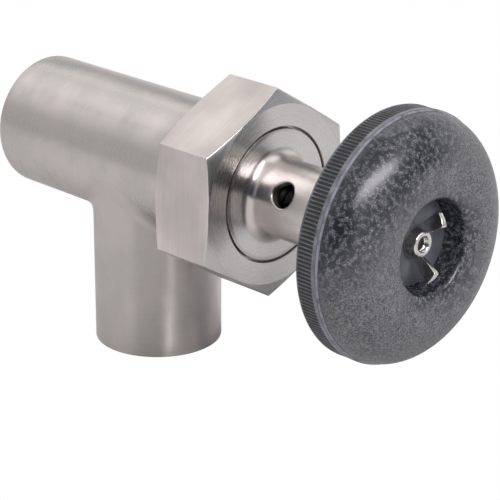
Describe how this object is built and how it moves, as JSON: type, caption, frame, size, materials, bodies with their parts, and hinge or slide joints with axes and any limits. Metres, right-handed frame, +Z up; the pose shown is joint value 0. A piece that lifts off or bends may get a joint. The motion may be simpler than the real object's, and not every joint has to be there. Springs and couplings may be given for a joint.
{
  "type": "kettle faucet",
  "caption": "Stainless draw-off valve with a welded tee body, hex union nut, bored bonnet neck and a domed screw knob; turning the knob lifts a seal from its seat.",
  "frame": {"origin": "centre of the inlet tube's end face, where it is welded to the kettle", "axes": "+Y out of the inlet towards the kettle, so the run and the knob lie along -Y; +Z up, with the outlet pointing down -Z; +X to the right seen from the knob"},
  "size_m": [0.0666, 0.1508, 0.0879],
  "materials": {
    "satin_tube": "satin",
    "dressed_weld": "satin",
    "inner_steel": "machined",
    "white_gasket": "matte",
    "turned_bonnet": "turned and polished",
    "satin_nut": "satin",
    "seal_rubber": "matte",
    "bearing_bronze": "machined",
    "spring_steel": "satin",
    "stem_steel": "machined and greased",
    "oring_rubber": "matte",
    "insert_steel": "machined",
    "phenolic": "moulded",
    "dark_washer": "satin",
    "bright_steel": "plated"
  },
  "bodies": {
    "valve_body": {"inlet_tube": "satin_tube", "outlet_tube": "satin_tube", "tee_weld": "dressed_weld", "threaded_ferrule": "inner_steel", "valve_seat": "inner_steel", "bonnet_gasket": "white_gasket", "bonnet": "turned_bonnet", "union_nut": "satin_nut"},
    "valve_disc": {"disc_holder": "inner_steel", "seat_seal": "seal_rubber", "seal_retainer": "inner_steel", "retainer_screw": "inner_steel", "thrust_washer": "bearing_bronze", "stem_clip": "spring_steel"},
    "stem_and_knob": {"stem": "stem_steel", "rear_oring": "oring_rubber", "front_oring": "oring_rubber", "knob_insert": "insert_steel", "knob": "phenolic", "knob_washer": "dark_washer", "wing_nut": "bright_steel"}
  },
  "joints": [
    {"name": "disc_lift", "type": "slide", "parent": "valve_body", "child": "valve_disc", "axis": [0, -1, 0], "range_m": [0, 0.0127]},
    {"name": "knob_turn", "type": "hinge", "parent": "valve_disc", "child": "stem_and_knob", "pos_m": [0, -0.127, 0], "axis": [0, -1, 0], "range_deg": [0, 900]}
  ],
  "couplings": [
    {"joint": "knob_turn", "follows": "disc_lift", "rad_per_m": 1236.8}
  ]
}
